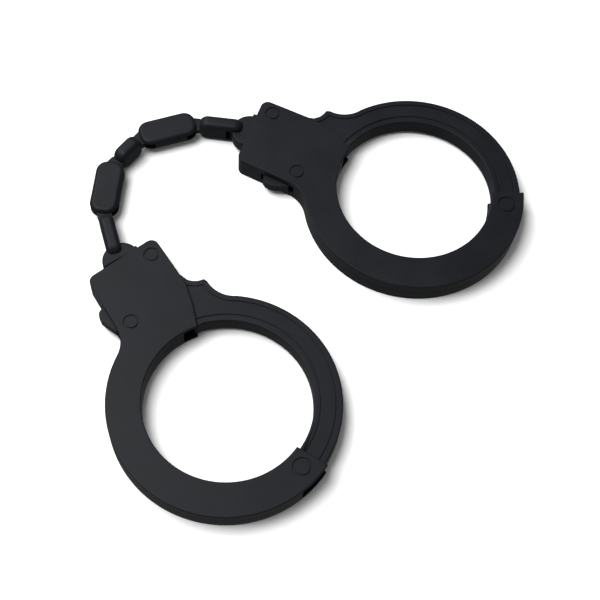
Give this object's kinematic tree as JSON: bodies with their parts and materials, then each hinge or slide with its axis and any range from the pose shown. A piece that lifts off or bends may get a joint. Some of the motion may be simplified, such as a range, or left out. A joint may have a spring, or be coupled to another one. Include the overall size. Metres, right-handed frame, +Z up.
{
  "type": "handcuffs",
  "caption": "Pair of matte black handcuffs with hinged toothed strands, sprung release levers, and swivels joined by a chain of solid pillow-shaped links.",
  "frame": {"origin": "centre of the bounding box, on the plane that the handcuffs lie on", "axes": "+Z up, along both hinge rivets and every chain pin; the left cuff lies towards -X -Y and the right cuff towards +X +Y, with the chain curling round on the -X side"},
  "size_m": [0.1649, 0.1787, 0.01],
  "materials": {
    "soft_touch_black": "matte soft-touch silicone skin, black",
    "soft_touch_link": "matte soft-touch silicone skin, black",
    "steel_pin": "bright drawn steel",
    "spring_steel": "blued spring strip",
    "bush_brass": "turned"
  },
  "bodies": {
    "left_cuff": {"left_upper_case": "soft_touch_black", "left_lower_case": "soft_touch_black", "left_hinge_rivet": "soft_touch_black", "left_case_rivets": "soft_touch_black", "left_lever_pin": "steel_pin", "left_swivel_bush": "bush_brass", "left_pawl_spring": "spring_steel"},
    "left_strand": {"left_strand": "soft_touch_black"},
    "left_release_lever": {"left_release_lever": "soft_touch_black"},
    "left_swivel": {"left_swivel": "soft_touch_link"},
    "link_1": {"link_1": "soft_touch_link", "chain_pin_1": "steel_pin"},
    "link_2": {"link_2": "soft_touch_link", "chain_pin_2": "steel_pin", "chain_pin_3": "steel_pin"},
    "link_3": {"link_3": "soft_touch_link"},
    "link_4": {"link_4": "soft_touch_link", "chain_pin_4": "steel_pin", "chain_pin_5": "steel_pin"},
    "link_5": {"link_5": "soft_touch_link", "chain_pin_6": "steel_pin"},
    "right_swivel": {"right_swivel": "soft_touch_link"},
    "right_cuff": {"right_upper_case": "soft_touch_black", "right_lower_case": "soft_touch_black", "right_hinge_rivet": "soft_touch_black", "right_case_rivets": "soft_touch_black", "right_lever_pin": "steel_pin", "right_swivel_bush": "bush_brass", "right_pawl_spring": "spring_steel"},
    "right_strand": {"right_strand": "soft_touch_black"},
    "right_release_lever": {"right_release_lever": "soft_touch_black"}
  },
  "joints": [
    {"name": "left_strand_hinge", "type": "hinge", "parent": "left_cuff", "child": "left_strand", "pos_m": [0.00907, -0.06815, 0.005], "axis": [0, 0, 1], "range_deg": [-35, 4]},
    {"name": "left_lever_pivot", "type": "hinge", "parent": "left_cuff", "child": "left_release_lever", "pos_m": [-0.06756, -0.00974, 0.005], "axis": [0, 0, 1], "range_deg": [0, 8], "stiffness_Nm_per_rad": 0.02, "springref_deg": -20.05, "deforming": ["left_pawl_spring"]},
    {"name": "left_swivel_turn", "type": "hinge", "parent": "left_cuff", "child": "left_swivel", "pos_m": [-0.06943, 0.00745, 0.005], "axis": [-0.6921, 0.7218, 0], "continuous": true},
    {"name": "chain_pivot_1", "type": "hinge", "parent": "left_swivel", "child": "link_1", "pos_m": [-0.06943, 0.00745, 0.005], "axis": [0, 0, 1], "range_deg": [-12, 60]},
    {"name": "chain_pivot_2", "type": "hinge", "parent": "link_1", "child": "link_2", "pos_m": [-0.07681, 0.02485, 0.005], "axis": [0, 0, -1], "range_deg": [-60, 8]},
    {"name": "chain_pivot_3", "type": "hinge", "parent": "link_2", "child": "link_3", "pos_m": [-0.07698, 0.04375, 0.005], "axis": [0, 0, 1], "range_deg": [-8, 60]},
    {"name": "chain_pivot_4", "type": "hinge", "parent": "link_3", "child": "link_4", "pos_m": [-0.06682, 0.05969, 0.005], "axis": [0, 0, -1], "range_deg": [-60, 8]},
    {"name": "chain_pivot_5", "type": "hinge", "parent": "link_4", "child": "link_5", "pos_m": [-0.04962, 0.06753, 0.005], "axis": [0, 0, 1], "range_deg": [-8, 60]},
    {"name": "chain_pivot_6", "type": "hinge", "parent": "link_5", "child": "right_swivel", "pos_m": [-0.03072, 0.06769, 0.005], "axis": [0, 0, -1], "range_deg": [-60, 12]},
    {"name": "right_swivel_turn", "type": "hinge", "parent": "right_swivel", "child": "right_cuff", "pos_m": [-0.03072, 0.06769, 0.005], "axis": [0.9703, -0.2419, 0], "continuous": true},
    {"name": "right_strand_hinge", "type": "hinge", "parent": "right_cuff", "child": "right_strand", "pos_m": [0.07599, 0.04555, 0.005], "axis": [0, 0, 1], "range_deg": [-95, 4]},
    {"name": "right_lever_pivot", "type": "hinge", "parent": "right_cuff", "child": "right_release_lever", "pos_m": [-0.01998, 0.05414, 0.005], "axis": [0, 0, 1], "range_deg": [0, 8], "stiffness_Nm_per_rad": 0.02, "springref_deg": -20.05, "deforming": ["right_pawl_spring"]}
  ]
}
